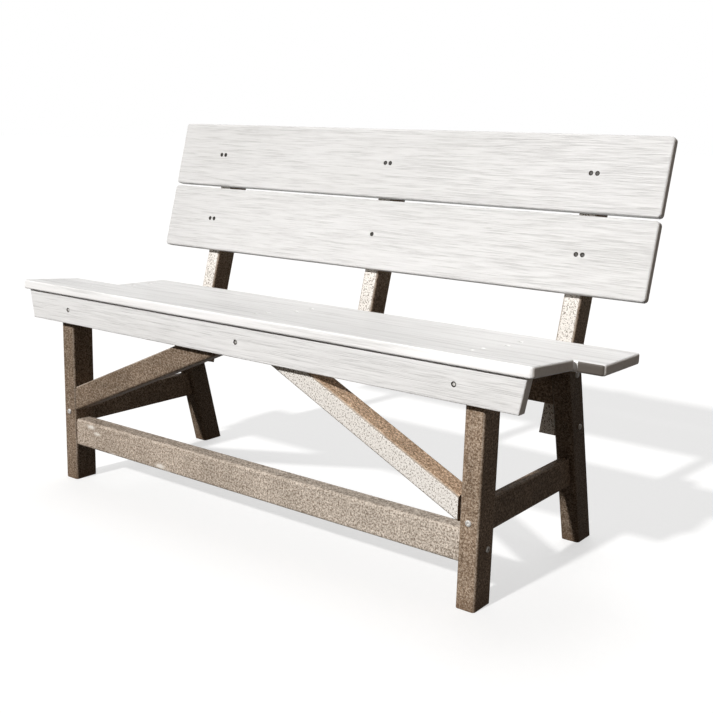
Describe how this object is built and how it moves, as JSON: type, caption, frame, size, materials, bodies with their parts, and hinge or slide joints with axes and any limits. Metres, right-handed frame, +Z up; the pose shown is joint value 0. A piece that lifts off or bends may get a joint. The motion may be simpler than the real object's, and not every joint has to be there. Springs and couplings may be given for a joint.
{
  "type": "park bench",
  "caption": "Outdoor park bench with back: pale moulded-grain planks on a brown plastic-lumber frame with raking rear legs, diagonal braces and low rails.",
  "frame": {"origin": "on the ground below the centre of the bench's bounding box", "axes": "+X along the bench towards the sitter's left hand, +Y from the front edge to the back, +Z up"},
  "size_m": [1.33, 0.585, 0.8035],
  "materials": {
    "white_board": "fine moulded wood grain, satin",
    "brown_lumber": "speckled, lightly textured",
    "stainless_steel": "plain stainless"
  },
  "bodies": {
    "root": {"seat_plank_front": "white_board", "seat_plank_rear": "white_board", "front_apron": "white_board", "back_plank_lower": "white_board", "back_plank_upper": "white_board", "upright_left": "brown_lumber", "upright_center": "brown_lumber", "upright_right": "brown_lumber", "front_leg_left": "brown_lumber", "front_leg_right": "brown_lumber", "rear_leg_left": "brown_lumber", "rear_leg_right": "brown_lumber", "end_rail_left": "brown_lumber", "end_rail_right": "brown_lumber", "seat_bearer_left": "brown_lumber", "seat_bearer_center": "brown_lumber", "seat_bearer_right": "brown_lumber", "rear_seat_rail": "brown_lumber", "front_stretcher": "brown_lumber", "brace_left": "brown_lumber", "brace_right": "brown_lumber", "seat_screws": "stainless_steel", "back_screws": "stainless_steel", "apron_screws": "stainless_steel", "frame_lag_screws": "stainless_steel", "side_lag_screws": "stainless_steel", "frame_bolts": "stainless_steel", "bolt_washers": "stainless_steel", "bolt_nuts": "stainless_steel", "brace_pins": "stainless_steel"}
  },
  "joints": []
}
